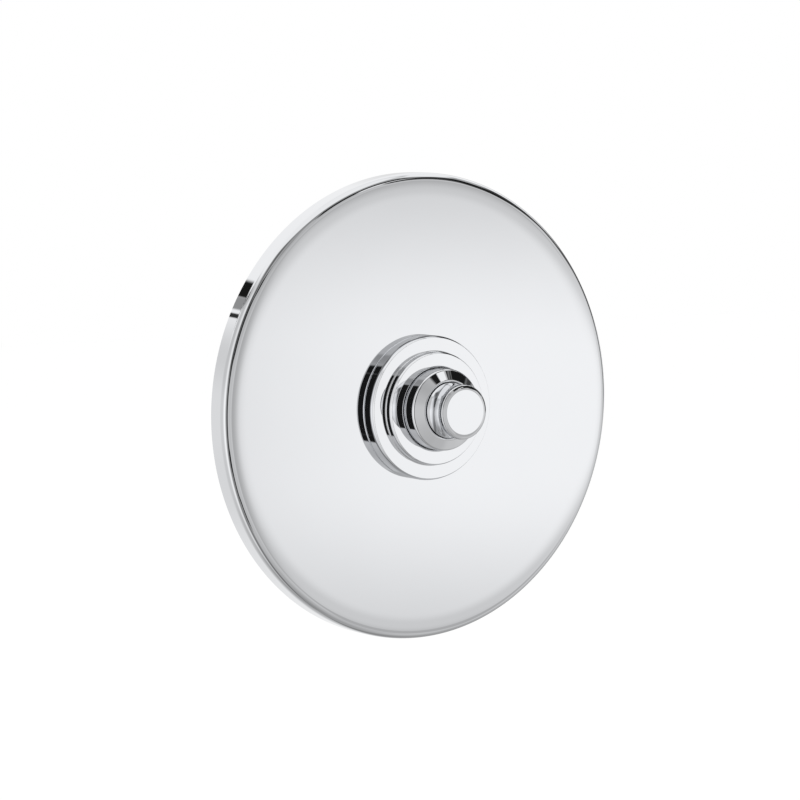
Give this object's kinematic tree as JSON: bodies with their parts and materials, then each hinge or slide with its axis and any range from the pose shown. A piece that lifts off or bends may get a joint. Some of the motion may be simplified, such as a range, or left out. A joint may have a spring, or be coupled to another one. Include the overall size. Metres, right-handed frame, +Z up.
{
  "type": "dual flush plate",
  "caption": "Round dual flush plate: a dished plate and stepped rosette with a coaxial push collar and push knob that work an air pump held on a wall bracket.",
  "frame": {"origin": "on the plate's axis at the wall plane, midway between the wall screw slots", "axes": "+Z up on the wall, +Y into the wall, the face and the buttons point to -Y"},
  "size_m": [0.2, 0.0964, 0.2],
  "materials": {
    "chrome_plating": "polished chrome plating on brass",
    "white_acetal": "smooth moulded plastic",
    "grey_plastic": "fine moulded texture",
    "black_rubber": "matt rubber",
    "spring_wire": "drawn stainless wire",
    "stainless_rod": "turned stainless steel",
    "zinc_plating": "bright zinc plating",
    "bracket_steel": "stamped stainless sheet",
    "bare_brass": "turned brass"
  },
  "bodies": {
    "plate_body": {"face_plate": "chrome_plating", "rosette": "chrome_plating", "collar_bush": "white_acetal", "stem_gland": "white_acetal", "pump_body": "grey_plastic", "pump_seal": "black_rubber", "pump_cover": "grey_plastic", "cover_screws": "zinc_plating", "mounting_bracket": "bracket_steel", "plate_washer": "black_rubber", "half_flush_nipple": "bare_brass", "full_flush_nipple": "bare_brass", "nipple_washers": "black_rubber", "half_flush_spring": "spring_wire", "full_flush_spring": "spring_wire"},
    "full_flush_button": {"full_flush_collar": "chrome_plating", "full_flush_piston": "white_acetal", "full_flush_outer_seal": "black_rubber", "full_flush_inner_seal": "black_rubber"},
    "half_flush_button": {"half_flush_knob": "chrome_plating", "knob_stem": "stainless_rod", "half_flush_piston": "white_acetal", "half_flush_seal": "black_rubber", "piston_nut": "stainless_rod"}
  },
  "joints": [
    {"name": "full_flush_press", "type": "slide", "parent": "plate_body", "child": "full_flush_button", "axis": [0, 1, 0], "range_m": [0, 0.005], "stiffness_N_per_m": 1500, "springref_m": -0.006, "deforming": ["full_flush_spring"]},
    {"name": "half_flush_press", "type": "slide", "parent": "plate_body", "child": "half_flush_button", "axis": [0, 1, 0], "range_m": [0, 0.006], "stiffness_N_per_m": 1000, "springref_m": -0.008, "deforming": ["half_flush_spring"]}
  ]
}
